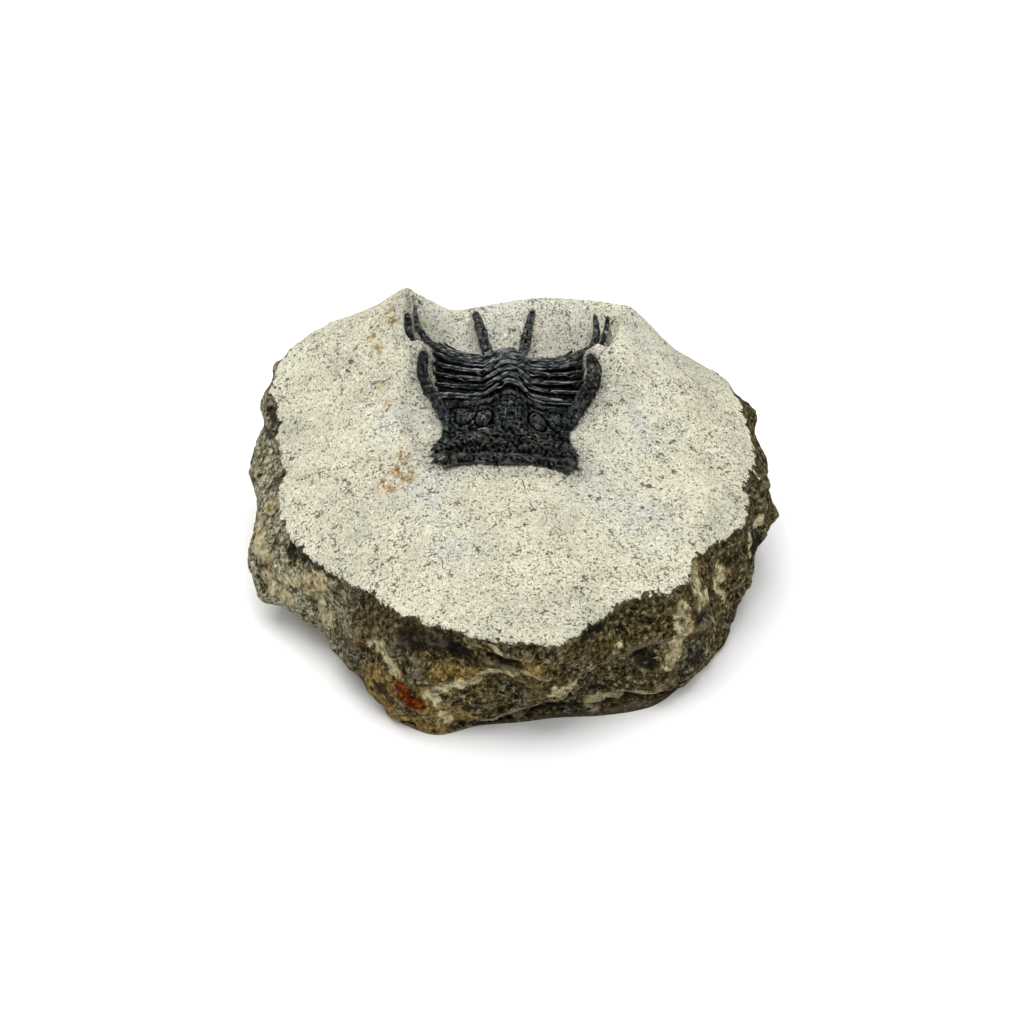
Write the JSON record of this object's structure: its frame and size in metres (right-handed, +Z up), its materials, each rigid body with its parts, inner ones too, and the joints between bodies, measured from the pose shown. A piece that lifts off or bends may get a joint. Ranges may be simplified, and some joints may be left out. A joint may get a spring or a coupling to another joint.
{
  "type": "trilobite fossil",
  "caption": "Spiny trilobite fossil, arched and black, standing out of the tooled top of a rough pale limestone block that rests on its flat underside.",
  "frame": {"origin": "on the resting plane, under the middle of the block's outline", "axes": "+Z up from the flat underside, -Y towards the head of the animal, +X to the right when its head faces the viewer"},
  "size_m": [0.0817, 0.0772, 0.0369],
  "materials": {
    "limestone": "tooled pale top, broken brown-grey sides",
    "fossil_shell": "dark, satin, with a faint bluish sheen"
  },
  "bodies": {
    "root": {"limestone_block": "limestone", "head_shield": "fossil_shell", "body_ring_1": "fossil_shell", "body_ring_2": "fossil_shell", "body_ring_3": "fossil_shell", "body_ring_4": "fossil_shell", "body_ring_5": "fossil_shell", "body_ring_6": "fossil_shell", "body_ring_7": "fossil_shell", "body_ring_8": "fossil_shell", "body_ring_9": "fossil_shell", "tail_shield": "fossil_shell"}
  },
  "joints": []
}
